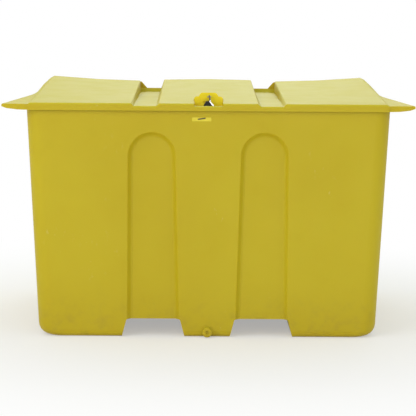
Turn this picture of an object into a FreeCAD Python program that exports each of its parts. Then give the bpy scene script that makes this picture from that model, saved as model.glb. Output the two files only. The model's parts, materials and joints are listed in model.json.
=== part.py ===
import FreeCAD, Part
import math
import os
from FreeCAD import Placement, Rotation, Vector

# Sizes in millimetres and degrees, each written once
SIZES = [
    ("tub_top_len", 1446, "tub length at the rim"),
    ("tub_base_len", 1356, "tub length at the ground, before rounding"),
    ("tub_top_wid", 1184, "tub width at the rim"),
    ("tub_base_wid", 1166, "tub width at the ground, before rounding"),
    ("tub_height", 916.5, "ground to rim"),
    ("tub_corner_rad", 60, "radius of the four upright corners"),
    ("base_side_rad", 50, "radius of the lower edge at the two ends"),
    ("base_front_rad", 25, "radius of the lower edge at front and rear"),
    ("tub_wall", 6, "tub wall"),
    ("rim_wall", 14, "wall of the thickened rim"),
    ("rim_depth", 70, "height of the thickened rim"),
    ("fork_pitch", 433, "distance between the fork tunnel centres"),
    ("fork_top_wid", 214, "tunnel width at its roof"),
    ("fork_base_wid", 252, "tunnel width at the ground"),
    ("fork_height", 72, "tunnel roof above the ground"),
    ("fork_edge_rad", 6, "radius of the tunnel roof edges"),
    ("arch_pitch_top", 448, "distance between the arch centres at the springing"),
    ("arch_rad", 97, "arch radius"),
    ("arch_below", 91.5, "arch crown below the rim"),
    ("arch_depth", 19, "depth of the arched recess"),
    ("arch_draft", 16, "how far the recess walls lean in"),
    ("drain_height", 23, "centre of the drain above the ground"),
    ("boss_rad", 22, "drain boss radius"),
    ("boss_len", 24, "drain boss length"),
    ("bush_rad", 16, "outer radius of the drain bush"),
    ("bush_flange_rad", 19, "radius of the bush flange"),
    ("bush_flange_len", 3, "thickness of the bush flange"),
    ("seal_len", 2, "thickness of the seal ring under the plug's cap"),
    ("seal_play", 0.2, "gap between the seal ring and the plug's shank"),
    ("seal_inset", 1.5, "seal ring inside the edge of the plug's cap"),
    ("plug_rad", 12.5, "radius of the drain plug's shank"),
    ("plug_chamfer", 1.5, "soft inner end of the plug's shank"),
    ("plug_cap_rad", 19, "radius of the drain plug's cap"),
    ("cap_edge_len", 6, "upright edge of the plug's cap"),
    ("cap_soft_wid", 3, "width of the cap's sloping edge"),
    ("cap_soft_len", 4, "height of the cap's sloping edge"),
    ("dish_rad", 7, "radius of the dish in the cap at its mouth"),
    ("dish_rise", 0.5, "mouth of the dish above the cap's sloping edge"),
    ("dish_floor_rad", 6, "radius of the dish at its floor"),
    ("dish_depth", 6.5, "depth of the dish at the edge of its floor"),
    ("dish_sink", 1, "how much deeper the middle of the dish's floor lies"),
    ("ledge_over", 92, "how far the lid's side ledges stand past the tub's ends"),
    ("lip_over", 13, "how far the lid's lip stands in front of the tub"),
    ("lid_wall", 5, "lid skin"),
    ("lid_gap", 0.5, "gap between the rim and the lid's rear wall"),
    ("lip_below", 8.5, "lower edge of the front lip below the rim"),
    ("lip_above", 20.5, "upper edge of the front lip above the rim"),
    ("lip_short", 15, "how far the front lip ends inside the tub's ends"),
    ("lip_step", 7, "how far the lip stands in front of the ledges"),
    ("panel_edge", 3.5, "soft edge along the panels and the lip"),
    ("knee_front", 210, "knee of the outer panels from the groove at the front"),
    ("knee_rear", 200, "knee of the outer panels from the groove at the rear"),
    ("peak_out", 15, "peak of the outer panels past the lip's end"),
    ("peak_in_front", 8, "ridge of the outer panels inside the lip's end at the front"),
    ("tip_edge", 3, "soft edge of the side ledges"),
    ("tip_height", 8, "upright end of the side ledges"),
    ("tip_round", 20, "length of the rounding under the side ledges' ends"),
    ("tip_sag_front", 7, "height of the rounding under the side ledges' ends at the front"),
    ("tip_sag_rear", 4, "height of the rounding under the side ledges' ends at the rear"),
    ("under_reach", 45, "bend in the ledges' underside past the lip's end"),
    ("under_rise", 1, "rise of the ledges' underside up to its bend"),
    ("under_start", 4, "start of the ledges' underside past the lip's end"),
    ("centre_half_front", 198, "centre panel half width at the front"),
    ("centre_half_rear", 206, "centre panel half width at the rear"),
    ("groove_lean_front", 9, "lean of the grooves' inner side at the front"),
    ("groove_lean_rear", 17, "lean of the grooves' inner side at the rear"),
    ("groove_foot_front", 6, "lean of the grooves' outer side at the front"),
    ("groove_foot_rear", 3, "lean of the grooves' outer side at the rear"),
    ("groove_out_front", 302, "groove outer edge at the front"),
    ("groove_out_rear", 317, "groove outer edge at the rear"),
    ("groove_front", 10, "groove floor above the rim at the front"),
    ("groove_rear", 29.5, "groove floor above the rim at the rear"),
    ("centre_rear", 87, "centre panel above the rim at the rear"),
    ("centre_crown", 3.5, "how far the centre panel bulges at the rear"),
    ("panel_rear", 81.5, "inner edge of the outer panels above the rim at the rear"),
    ("panel_peak", 101.5, "peak of the outer panels above the rim at the rear"),
    ("ledge_above", 15.5, "side ledge above the rim at its outer edge"),
    ("ledge_rise", 1, "rise of the side ledge's outer edge from front to rear"),
    ("upstand_above", 47, "rear upstand of the grooves above the rim"),
    ("upstand_wall", 8, "thickness of the upstand's ends"),
    ("upstand_root", 4, "how deep the upstands are set into the lid"),
    ("upstand_lean_in", 12, "slope of the upstand's end beside the centre panel"),
    ("upstand_lean_out", 26, "slope of the upstand's end beside the outer panel"),
    ("upstand_side", 6, "how far the upstand's ends run into the panels"),
    ("slope_inset", 1, "upstand's sloping sill inside the lid's rear face"),
    ("slope_crest", 7, "crest of the upstand's sill from the lid's rear face"),
    ("slope_brow", 11, "brow of the upstand's sill from the lid's rear face"),
    ("slope_brow_drop", 5, "brow of the upstand's sill below its crest"),
    ("slope_knee", 18, "knee of the upstand's sill from the lid's rear face"),
    ("slope_knee_rise", 3, "knee of the upstand's sill above the groove's floor"),
    ("slope_foot", 26, "foot of the upstand's sill from the lid's rear face"),
    ("slope_foot_sunk", 0.4, "foot of the upstand's sill below the groove's floor"),
    ("pocket_half", 57, "lock pocket half width"),
    ("pocket_depth", 88, "lock pocket's rear wall behind the tub's front"),
    ("sill_above", 10, "lock pocket's sill above the rim"),
    ("sill_soft", 7, "rounding of the pocket's sill"),
    ("well_half", 50, "half width of the well behind the sill"),
    ("well_inset", 24, "well's front wall behind the tub's front"),
    ("well_below", 20.5, "well's floor below the rim"),
    ("hump_side", 45.5, "side lobes of the pocket's wall above the rim"),
    ("hump_top", 60.5, "middle lobe of the pocket's wall above the rim"),
    ("hump_mid_half", 37, "half width of the middle lobe"),
    ("hump_len", 100, "length of the hump behind the pocket wall"),
    ("hump_skirt", 2, "how much wider the hump is than the pocket"),
    ("hump_shoulder", 12, "rounding of the hump's lobes"),
    ("hump_root", 6, "foot of the hump below the lip's upper edge"),
    ("hump_end", 2, "rear end of the hump's side lobes above the lip's upper edge"),
    ("notch_out", 2, "start of the step between the lobes outside the middle lobe"),
    ("notch_in", 1, "end of the step between the lobes inside the middle lobe"),
    ("notch_lift", 2, "rear end of the step above that of the side lobes"),
    ("hinge_x", 520, "hinge centre from the middle"),
    ("hinge_len", 120, "hinge length"),
    ("knuckle_rad", 6, "hinge knuckle radius"),
    ("hinge_pin_rad", 3, "hinge pin radius"),
    ("hinge_play", 0.05, "radial play of the hinge pin in the lid leaf"),
    ("pin_chamfer", 0.6, "soft ends of the hinge pins"),
    ("leaf_wall", 3, "hinge leaf thickness"),
    ("leaf_start", 0.5, "start of the leaf's plate from the axis"),
    ("leaf_height", 58, "hinge leaf height from the axis"),
    ("knuckle_gap", 0.6, "gap between knuckles"),
    ("knuckle_clear", 1.5, "gap around the other leaf's knuckle"),
    ("knuckle_sunk", 2, "how far the knuckles reach behind the leaf's face"),
    ("plate_edge", 10, "backing plate past its bolts"),
    ("leaf_bolt_pitch", 80, "distance between the bolts along a leaf"),
    ("leaf_bolt_low", 22, "first bolt row from the hinge axis"),
    ("leaf_bolt_high", 46, "second bolt row from the hinge axis"),
    ("bolt_rad", 3, "bolt radius, M6"),
    ("bolt_head_wid", 10, "bolt head and nut across flats"),
    ("bolt_head_len", 4, "bolt head height"),
    ("nut_len", 5, "nut height"),
    ("bolt_end", 3, "bolt thread standing past its nut"),
    ("plate_wall", 3, "backing plate thickness"),
    ("tongue_x", -18.5, "lock tongue centre"),
    ("tongue_wid", 27, "lock tongue width"),
    ("tongue_wall", 5, "lock tongue thickness"),
    ("tongue_above", 35.5, "lock tongue's upper edge above the rim"),
    ("tongue_depth", 81, "rear face of the tongue behind the tub's front"),
    ("tongue_hole_rad", 5, "padlock hole of the tongue"),
    ("tongue_hole_drop", 10.8, "padlock hole's centre below the tongue's top"),
    ("tongue_corner", 7.425, "radius of the tongue's upper corners"),
    ("tongue_gap", 3, "play of the tongue in the pocket floor's slot"),
    ("arm_below", 30.5, "top of the tongue's arm below the rim"),
    ("tongue_foot", 20, "height of the tongue's foot"),
    ("tongue_bolt_pitch", 15, "distance between the tongue's two bolts"),
    ("tongue_bolt_below", 43, "the tongue's bolts below the rim"),
    ("sunk_head_rad", 6, "radius of the tongue bolts' flush heads"),
    ("eye_x", 2.6, "padlock eye centre"),
    ("eye_above", 44.7, "padlock eye above the rim"),
    ("eye_rad", 1.75, "bar radius of the padlock eye"),
    ("eye_half", 6.5, "half width of the eye between bar centres"),
    ("eye_bend_rad", 3, "bend radius of the eye's corners"),
    ("eye_depth", 46, "front bar of the eye behind the tub's front"),
    ("lock_tilt", 10, "lean of the open padlock in degrees"),
    ("shackle_rad", 3, "shackle bar radius"),
    ("shackle_half", 10, "half width of the shackle between bar centres"),
    ("shackle_drop", 20, "crown of the shackle above the padlock's top"),
    ("shackle_short", 8.5, "straight length of the shackle's free leg"),
    ("shackle_hold", 25.2, "length of the shackle's long leg inside the padlock"),
    ("shackle_play", 0.2, "radial play of the shackle's free leg in its hole"),
    ("hold_spare", 2, "spare depth of the long leg's bore"),
    ("lock_wid", 46, "padlock width"),
    ("lock_height", 42, "padlock height"),
    ("lock_wall", 20, "padlock thickness"),
    ("lock_edge_rad", 5, "radius of the padlock's corners"),
    ("lock_chamfer", 1.6, "soft front and rear edges of the padlock"),
    ("lock_top_wid", 15, "flat top of the padlock between its shoulders"),
    ("lock_shoulder", 21, "height of the padlock's sloping shoulders"),
    ("lock_case_wid", 7, "width of the bare steel shoulder"),
    ("lock_case_past", 2, "bare steel past the shoulder's lower end"),
    ("lock_travel", 5, "how far the padlock slides on its shackle to lock"),
    ("cylinder_rad", 6.5, "key cylinder radius"),
    ("cylinder_len", 16, "key cylinder length"),
    ("cylinder_inset", 0.5, "play behind the key cylinder"),
    ("keyway_wid", 1.8, "width of the keyway"),
    ("keyway_len", 7, "length of the keyway"),
    ("keyway_past", 3, "how far the keyway runs past the cylinder's axis"),
    ("keyway_depth", 12.8, "depth of the keyway"),
    ("eye_plate_half", 14, "half width of the eye's backing plate"),
    ("eye_plate_rise", 8, "half height of the eye's backing plate"),
    ("eye_nut_wall", 2.4, "wall of the eye's round nuts"),
]

doc = FreeCAD.newDocument("grit_bin")
sheet = doc.addObject("Spreadsheet::Sheet", "Sheet")
for row, (alias, value, note) in enumerate(SIZES, start=1):
    sheet.set("A%d" % row, note)
    sheet.set("B%d" % row, str(value))
    sheet.setAlias("B%d" % row, alias)
doc.recompute()


def size(alias):
    return float(getattr(sheet, alias))


def above(alias):
    # Height of something above the tub's rim
    return size("tub_height") + size(alias)


def below(alias):
    # Height of something below the tub's rim
    return size("tub_height") - size(alias)


def depth_at(alias):
    # Place of something behind the rim's front, as a distance in front of the centre
    return size("tub_top_wid") / 2 - size(alias)


def lid_front():
    return size("tub_top_wid") / 2 + size("lip_over")


def lid_rear():
    # The lid's rear wall is flush with the tub's rim
    return size("tub_top_wid") / 2


def lid_len():
    return size("tub_top_len") + 2 * size("ledge_over")


def lip_half():
    return size("tub_top_len") / 2 - size("lip_short")


ROUND_STEPS = 6        # straight bands that make a quarter round
# Arch wall from the face to the floor: share of the depth, share of the draft
ARCH_STEPS = [(0.0, 0.0), (0.02, 0.0), (0.05, 0.12), (0.13, 0.25), (0.38, 0.45), (0.7, 0.75),
              (0.92, 1.05), (1.0, 1.4)]
# Lid wing outside the peak: past the lip's end and below the lip's top at the front,
# inside the lid's end and above the ledge at the rear, and how far its skin turns in
WING_ROWS = [(-2, 2, 74, 77, -0.5), (1, 4, 40, 45.58, -0.8), (4, 6, 17, 14.62, -0.8)]
# Middle lobe of the hump from its side to its top: inwards and down as shares of its rounding,
# and the height of its rear end above that of the side lobes
MIDDLE_LOBE = [(1 / 3, 1 / 3, 3.0), (1.0, 0.0, 4.0)]
# Side lobes of the hump: inwards and down as shares of their rounding
SIDE_LOBE = [(0.0, 1.0), (1 / 3, 1 / 4), (1.0, 0.0)]
# Rounded sill of the lock pocket: inwards and down as shares of its rounding
SILL_ROUND = [(0.0, 1.0), (0.13, 0.5), (0.5, 0.13), (1.0, 0.0)]
EDGE_SHARE = 0.3       # first bevel of the lid's soft front and rear edges, as a share of the skin
ARC_MIDDLE = 1 - math.sqrt(0.5)  # a quarter round's middle inside its corner, in radii
KNEE_SHARE = 0.3       # height of the outer panels' knee between their inner edge and peak
HUMP_BEND = 0.35       # how far the hump has sunk at half its length
CORNER_STEPS = 3       # straight pieces that round a corner of an outline
FLAT_LIMIT = 0.0000001  # corners this close to a plane make a flat face
CUT_SPARE = 20.0       # how far a flat cutter runs past what it cuts
CUT_SHORT = 5.0        # how far a hole's cutter runs out of a wall into the open
CUT_OVER = 1.0         # how far a close cutter runs past what it cuts
HOLLOW_DROP = 2.0      # side edge of the lid's hollow below the ledge's skin
CORNER_GAP = 2.0       # how far past the lip's end the step to the ledges lies
LOOSE_GAP = 0.3        # gap between pieces that hang loosely on each other
NUT_PLAY = 0.05        # radial play of fasteners in their holes
HEX_SIDES = 6
RIGHT_ANGLE = 90.0
FULL_TURN = 360.0
X_AXIS = Vector(1, 0, 0)
Y_AXIS = Vector(0, 1, 0)
Z_AXIS = Vector(0, 0, 1)

node_objects = []


def keep(obj, label):
    # Adds a finished sub-part to the list that is exported
    obj.Label = label
    node_objects.append(obj)
    return obj


def shape_node(label, shape, placement=None):
    # A sub-part whose shape is worked out in code
    obj = doc.addObject("Part::Feature", label)
    obj.Shape = shape
    if placement is not None:
        obj.Placement = placement
    return keep(obj, label)


def box(x0, x1, y0, y1, z0, z1):
    return Part.makeBox(x1 - x0, y1 - y0, z1 - z0, Vector(x0, y0, z0))


def polygon(points):
    return Part.makePolygon(points + [points[0]])


def band_face(first, second):
    # Face between two matching edges: flat where the four corners allow it
    corners = [first.Vertexes[0].Point, first.Vertexes[-1].Point]
    others = [second.Vertexes[0].Point, second.Vertexes[-1].Point]
    straight = first.Curve.TypeId == "Part::GeomLine" and second.Curve.TypeId == "Part::GeomLine"
    normal = (corners[1] - corners[0]).cross(others[0] - corners[0])
    if straight and normal.Length > FLAT_LIMIT:
        normal.normalize()
        if abs(normal.dot(others[1] - corners[0])) < FLAT_LIMIT:
            return Part.Face(polygon(corners + [others[1], others[0]]))
    return Part.makeRuledSurface(first, second)


def ruled_solid(wires):
    # Solid through matching closed outlines, joined by straight bands
    faces = [Part.Face(wires[0]), Part.Face(wires[-1])]
    for lower, upper in zip(wires, wires[1:]):
        for first, second in zip(lower.Edges, upper.Edges):
            faces.append(band_face(first, second))
    shell = Part.makeShell(faces)
    shell.sewShape()
    solid = Part.makeSolid(shell)
    if solid.Volume < 0:
        solid.reverse()
    return solid


def rounded_wire(half_x, half_y, radius, z):
    # Rounded rectangle at one height
    turn = radius * ARC_MIDDLE
    edges = []
    inner_x = half_x - radius
    inner_y = half_y - radius
    signs = [(1, 1), (-1, 1), (-1, -1), (1, -1)]
    ends = []
    for sx, sy in signs:
        along_x = Vector(sx * inner_x, sy * half_y, z)
        along_y = Vector(sx * half_x, sy * inner_y, z)
        middle = Vector(sx * (half_x - turn), sy * (half_y - turn), z)
        first, last = (along_y, along_x) if sx * sy > 0 else (along_x, along_y)
        ends.append((first, middle, last))
    for index, (first, middle, last) in enumerate(ends):
        edges.append(Part.Arc(first, middle, last).toShape())
        following = ends[(index + 1) % len(ends)][0]
        edges.append(Part.makeLine(last, following))
    return Part.Wire(edges)


def tub_form(inset, low, high, high_inset):
    # Tapered block with rounded upright corners and a rounded lower edge
    side_slope = (size("tub_top_len") - size("tub_base_len")) / 2 / size("tub_height")
    front_slope = (size("tub_top_wid") - size("tub_base_wid")) / 2 / size("tub_height")
    corner = size("tub_corner_rad") - inset
    side_rad = size("base_side_rad") - inset
    front_rad = size("base_front_rad") - inset
    wires = []
    for step in range(ROUND_STEPS + 1):
        angle = math.radians(RIGHT_ANGLE * step / ROUND_STEPS)
        rise = side_rad * (1 - math.cos(angle))
        side_in = side_rad * (1 - math.sin(angle))
        fall = max(0.0, front_rad - rise)
        front_in = front_rad - math.sqrt(max(0.0, front_rad ** 2 - fall ** 2))
        z = low + rise
        half_x = size("tub_base_len") / 2 + side_slope * z - inset - side_in
        half_y = size("tub_base_wid") / 2 + front_slope * z - inset - front_in
        wires.append(rounded_wire(half_x, half_y, corner, z))
    half_x = size("tub_base_len") / 2 + side_slope * high - high_inset
    half_y = size("tub_base_wid") / 2 + front_slope * high - high_inset
    wires.append(rounded_wire(half_x, half_y, corner, high))
    return ruled_solid(wires)


def softened(points, radii):
    # Outline with some corners rounded by short straight pieces
    outline = []
    for index, (corner, radius) in enumerate(zip(points, radii)):
        if radius <= 0:
            outline.append(corner)
            continue
        before = (points[index - 1] - corner).normalize()
        after = (points[(index + 1) % len(points)] - corner).normalize()
        half_angle = before.getAngle(after) / 2
        reach = radius / math.tan(half_angle)
        centre = corner + (before + after).normalize() * (radius / math.sin(half_angle))
        first = corner + before * reach - centre
        last = corner + after * reach - centre
        turn = first.getAngle(last)
        for step in range(CORNER_STEPS + 1):
            share = step / CORNER_STEPS
            weight_first = math.sin((1 - share) * turn) / math.sin(turn)
            weight_last = math.sin(share * turn) / math.sin(turn)
            outline.append(centre + first * weight_first + last * weight_last)
    return outline


def fork_cutter(centre, grow):
    # Trapezoid tunnel from front to rear
    slope = (size("fork_base_wid") - size("fork_top_wid")) / 2 / size("fork_height")
    side_grow = grow * math.sqrt(1 + slope ** 2)
    top = size("fork_height") + grow
    low = -CUT_SPARE
    half_top = size("fork_top_wid") / 2 + side_grow - slope * grow
    half_low = half_top + slope * (top - low)
    reach = size("tub_top_wid") / 2 + CUT_SPARE
    corner = size("fork_edge_rad") + grow
    points = [
        Vector(centre - half_low, -reach, low),
        Vector(centre + half_low, -reach, low),
        Vector(centre + half_top, -reach, top),
        Vector(centre - half_top, -reach, top),
    ]
    face = Part.Face(polygon(softened(points, [0, 0, corner, corner])))
    return face.extrude(Vector(0, 2 * reach, 0))


def end_face(z):
    # End face of the tub at a height, as a distance beside the centre
    slope = (size("tub_top_len") - size("tub_base_len")) / 2 / size("tub_height")
    return size("tub_base_len") / 2 + slope * z


def foot_face(z):
    # Front face of the tub at a height, as a distance in front of the centre
    slope = (size("tub_top_wid") - size("tub_base_wid")) / 2 / size("tub_height")
    return size("tub_base_wid") / 2 + slope * z


def arch_wire(centre_low, centre_top, half_low, radius, low, spring, face_sign, back):
    # Arch outline in a plane behind the leaning wall
    def spot(x, z):
        return Vector(x, face_sign * (foot_face(z) - back), z)

    left_low = spot(centre_low - half_low, low)
    right_low = spot(centre_low + half_low, low)
    right_top = spot(centre_top + radius, spring)
    left_top = spot(centre_top - radius, spring)
    crown = spot(centre_top, spring + radius)
    return Part.Wire([
        Part.makeLine(left_low, right_low),
        Part.makeLine(right_low, right_top),
        Part.Arc(right_top, crown, left_top).toShape(),
        Part.makeLine(left_top, left_low),
    ])


def arch_cutter(side, face_sign, grow):
    # Shallow arched recess with leaning, rounded walls, open into the tunnel below it
    centre_low = side * size("fork_pitch") / 2
    centre_top = side * size("arch_pitch_top") / 2
    half_low = size("fork_top_wid") / 2
    depth = size("arch_depth")
    draft = size("arch_draft")
    low = size("fork_height") / 2
    spring = below("arch_below") - size("arch_rad")
    wires = []
    for depth_share, draft_share in ARCH_STEPS:
        back = depth_share * depth if depth_share > 0 else -CUT_OVER
        inward = draft_share * draft
        if depth_share > 0:
            back += grow
        inward -= grow
        wires.append(arch_wire(centre_low, centre_top, half_low - inward,
                               size("arch_rad") - inward, low, spring, face_sign, back))
    return ruled_solid(wires)


def recess_cutters(grow):
    cutters = []
    for side in (-1, 1):
        cutters.append(fork_cutter(side * size("fork_pitch") / 2, grow))
        for face_sign in (-1, 1):
            cutters.append(arch_cutter(side, face_sign, grow))
    return cutters


def y_cylinder(radius, y0, y1, x, z):
    return Part.makeCylinder(radius, y1 - y0, Vector(x, y0, z), Y_AXIS)


def make_tub():
    wall = size("tub_wall")
    height = size("tub_height")
    rim_low = height - size("rim_depth")
    outer = tub_form(0.0, 0.0, height, 0.0)
    outer = outer.cut(recess_cutters(0.0))
    inside = tub_form(wall, wall, rim_low, wall)
    corner = size("tub_corner_rad") - size("rim_wall")
    mouth = ruled_solid([
        rounded_wire(end_face(z) - size("rim_wall"), foot_face(z) - size("rim_wall"), corner, z)
        for z in (rim_low - CUT_OVER, height + CUT_OVER)
    ])
    inside = inside.cut(recess_cutters(wall))
    shell = outer.cut([inside, mouth])
    drain_z = size("drain_height")
    front = -foot_face(drain_z)
    boss = y_cylinder(size("boss_rad"), front - wall, front - wall + size("boss_len"), 0, drain_z)
    shell = shell.fuse(boss)
    bore = y_cylinder(size("bush_rad"), front - CUT_SPARE, front + size("boss_len") + CUT_SPARE,
                      0, drain_z)
    holes = [bore]
    holes += tub_hinge_holes()
    holes += tongue_holes()
    return shell.cut(holes)


def hinge_axis():
    return Vector(0, lid_rear() + size("leaf_wall") + size("knuckle_rad") - size("knuckle_sunk"),
                  above("lid_gap"))


def tub_draft():
    rise = (size("tub_top_wid") - size("tub_base_wid")) / 2
    return math.degrees(math.atan(rise / size("tub_height")))


def leaf_placement(sign, down):
    # The local frame of a hinge: the origin on its axis, the leaf running up (or down)
    base = hinge_axis() + Vector(sign * size("hinge_x"), 0, 0)
    if down:
        turn = Rotation(X_AXIS, -tub_draft())
    else:
        turn = Rotation()
    return Placement(base, turn)


def bolt_spots(down):
    # Bolt centres in a hinge's local frame
    sign = -1 if down else 1
    spots = []
    for x in (-size("leaf_bolt_pitch") / 2, size("leaf_bolt_pitch") / 2):
        for z in (size("leaf_bolt_low"), size("leaf_bolt_high")):
            spots.append(Vector(x, 0, sign * z))
    return spots


def hinge_face(down):
    # Wall face in a hinge's local frame, on the lid or (down) on the leaning tub
    if down:
        away = hinge_axis().y - foot_face(hinge_axis().z)
        return -away * math.cos(math.radians(tub_draft()))
    return lid_rear() - hinge_axis().y


def wall_holes(down):
    holes = []
    face = hinge_face(down)
    for sign in (-1, 1):
        place = leaf_placement(sign, down)
        for spot in bolt_spots(down):
            hole = y_cylinder(size("bolt_rad") + NUT_PLAY, face - CUT_SPARE, face + CUT_SHORT,
                              spot.x, spot.z)
            hole.Placement = place.multiply(hole.Placement)
            holes.append(hole)
    return holes


def tub_hinge_holes():
    return wall_holes(True)


def lid_hinge_holes():
    return wall_holes(False)


def tongue_bolt_spots():
    # Two bolts side by side through the tub's front wall
    half = size("tongue_bolt_pitch") / 2
    return [Vector(size("tongue_x") + sign * half, 0, 0) for sign in (-1, 1)]


def front_placement():
    # Local frame on the leaning front face at the tongue's bolts: local +Y runs into the tub
    z = below("tongue_bolt_below")
    return Placement(Vector(0, -foot_face(z), z), Rotation(X_AXIS, tub_draft()))


def sunk_bolt(spot, length, play, proud):
    # Bolt with a flush conical head, its top in the tub's front face
    head = size("sunk_head_rad") + play
    shank = size("bolt_rad") + play
    cone = Part.makeCone(head, shank, head - shank, spot, Y_AXIS)
    shapes = [y_cylinder(shank, 0, length, spot.x, spot.z)]
    if proud > 0:
        shapes.append(y_cylinder(head, -proud, 0, spot.x, spot.z))
    return cone.fuse(shapes).removeSplitter()


def tongue_holes():
    holes = []
    for spot in tongue_bolt_spots():
        hole = sunk_bolt(spot, 2 * CUT_SPARE, NUT_PLAY, CUT_OVER)
        hole.Placement = front_placement().multiply(hole.Placement)
        holes.append(hole)
    return holes


def lid_outline():
    # Rows of the lid's upper outline from the middle outwards: front x, z and rear x, z,
    # and the way the skin's inner side is shifted there
    edge = size("panel_edge")
    lip = above("lip_above")
    centre = above("centre_rear")
    rear = above("panel_rear")
    peak = above("panel_peak")
    ledge = above("ledge_above")
    half = lid_len() / 2
    front_c = size("centre_half_front")
    rear_c = size("centre_half_rear")
    front_o = size("groove_out_front")
    rear_o = size("groove_out_rear")
    floor_front = above("groove_front")
    floor_rear = above("groove_rear")
    lip_end = lip_half()
    inner_front = front_c + size("groove_lean_front")
    inner_rear = rear_c + size("groove_lean_rear")
    outer_front = front_o - size("groove_foot_front")
    outer_rear = rear_o - size("groove_foot_rear")
    knee = rear + KNEE_SHARE * (peak - rear)
    rows = [
        (front_c - edge, lip, rear_c - edge, centre, -1),
        (front_c, lip - edge, rear_c, centre - edge, -1),
        (inner_front, floor_front, inner_rear, floor_rear, -1),
        (outer_front, floor_front, outer_rear, floor_rear, 1),
        (front_o, lip - edge, rear_o, rear - edge, 1),
        (front_o + edge, lip, rear_o + edge, rear, 1),
        (front_o + size("knee_front"), lip, rear_o + size("knee_rear"), knee, 0),
        (lip_end - size("peak_in_front"), lip, lip_end + size("peak_out"), peak, 0),
    ]
    for past, drop, inside, rise, turn in WING_ROWS:
        rows.append((lip_end + past, lip - drop, half - inside, ledge + rise, turn))
    tip = half - size("tip_edge")
    rows.append((tip, ledge, tip, ledge + size("ledge_rise"), WING_ROWS[-1][-1]))
    return rows


def outline_wire(rows, share, y, drop, low_rows):
    # Closed lid section at one station, mirrored about the middle
    right = []
    for front_x, front_z, rear_x, rear_z, _ in rows:
        x = front_x + share * (rear_x - front_x)
        z = front_z + share * (rear_z - front_z) - drop
        right.append((x, z))
    right += low_rows
    crown = right[0][1] + share * size("centre_crown")
    points = [Vector(0, y, crown)]
    points += [Vector(x, y, z) for x, z in right]
    points += [Vector(-x, y, z) for x, z in reversed(right)]
    return polygon(points)


def lid_share(y):
    # 0 at the lid's front and 1 at its rear
    return (y + lid_front()) / (lid_front() + lid_rear())


def lid_block():
    # The lid as one solid block with soft front and rear edges, before it is hollowed
    half = lid_len() / 2
    lip_end = lip_half()
    ledge = above("ledge_above")
    front_low = below("lip_below")
    split = above("lid_gap")
    tip_top = ledge - size("tip_edge")
    tip_low = tip_top - size("tip_height")
    soft = size("lid_wall")
    slight = EDGE_SHARE * soft
    stations = [(-lid_front(), soft), (-lid_front() + slight, slight), (-lid_front() + soft, 0.0)]
    stations += [(lid_rear() - soft, 0.0), (lid_rear() - slight, slight), (lid_rear(), soft)]
    wires = []
    for y, drop in stations:
        share = lid_share(y)
        low = front_low + share * (split - front_low)
        sag = size("tip_sag_front") + share * (size("tip_sag_rear") - size("tip_sag_front"))
        low_rows = [
            (half, tip_top - drop / 2),
            (half, tip_low),
            (half - size("tip_round"), tip_low - sag),
            (lip_end + size("under_reach"), low + size("under_rise")),
            (lip_end + size("under_start"), low),
        ]
        wires.append(outline_wire(lid_outline(), share, y, drop, low_rows))
    return ruled_solid(wires)


def lid_hollow():
    # The space below the lid's skin
    skin = size("lid_wall")
    half = lid_len() / 2
    deep = below("well_below") - 2 * CUT_SPARE
    rows = []
    for front_x, front_z, rear_x, rear_z, turn in lid_outline():
        shift = turn * skin
        rows.append((front_x + shift, front_z - skin, rear_x + shift, rear_z - skin, turn))
    low_rows = [(half - skin, above("ledge_above") - skin - HOLLOW_DROP), (half - skin, deep)]
    wires = []
    for y in (-lid_front() + skin, lid_rear() - skin):
        wires.append(outline_wire(rows, lid_share(y), y, 0.0, low_rows))
    return ruled_solid(wires)


def ledge_steps(grow):
    # Blocks in front of the side ledges, where the lip stands proud of them
    blocks = []
    half = lid_len() / 2 + CUT_SPARE
    start = lip_half() + CORNER_GAP - grow
    y0 = -lid_front() - CUT_SPARE
    y1 = -lid_front() + size("lip_step") + grow
    z0 = below("well_below") - 3 * CUT_SPARE
    z1 = above("lip_above") + CUT_SPARE
    blocks.append(box(start, half, y0, y1, z0, z1))
    blocks.append(box(-half, -start, y0, y1, z0, z1))
    return blocks


def upstands():
    # Rear upstands that close the grooves, with sloped ends up to the panels
    rear = lid_rear()
    top = above("upstand_above")
    floor = above("groove_rear")
    inner = size("centre_half_rear")
    outer = size("groove_out_rear")
    panel = above("panel_rear") - size("lid_wall")
    centre = above("centre_rear") - size("lid_wall")
    wall = size("upstand_wall")
    root = size("upstand_root")
    side = size("upstand_side")
    solids = []
    for sign in (-1, 1):
        outline = [
            (inner - side, floor - root), (inner - side, centre), (inner, centre),
            (inner + size("upstand_lean_in"), top),
            (outer - side - size("upstand_lean_out"), top), (outer - side, panel),
            (outer + side, panel), (outer + side, floor - root),
        ]
        ends = Part.Face(polygon([Vector(sign * x, rear - wall, z) for x, z in outline]))
        solids.append(ends.extrude(Vector(0, wall, 0)))
        # Sill across the groove, its front sloping down to the groove's floor
        profile = [
            (size("slope_inset"), floor - root), (size("slope_foot"), floor - root),
            (size("slope_foot"), floor - size("slope_foot_sunk")),
            (size("slope_knee"), floor + size("slope_knee_rise")),
            (size("slope_brow"), top - size("slope_brow_drop")),
            (size("slope_crest"), top), (size("slope_inset"), top),
        ]
        sill = Part.Face(polygon([Vector(sign * (inner + root), rear - y, z) for y, z in profile]))
        solids.append(sill.extrude(Vector(sign * (outer - inner), 0, 0)))
    return solids


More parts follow.
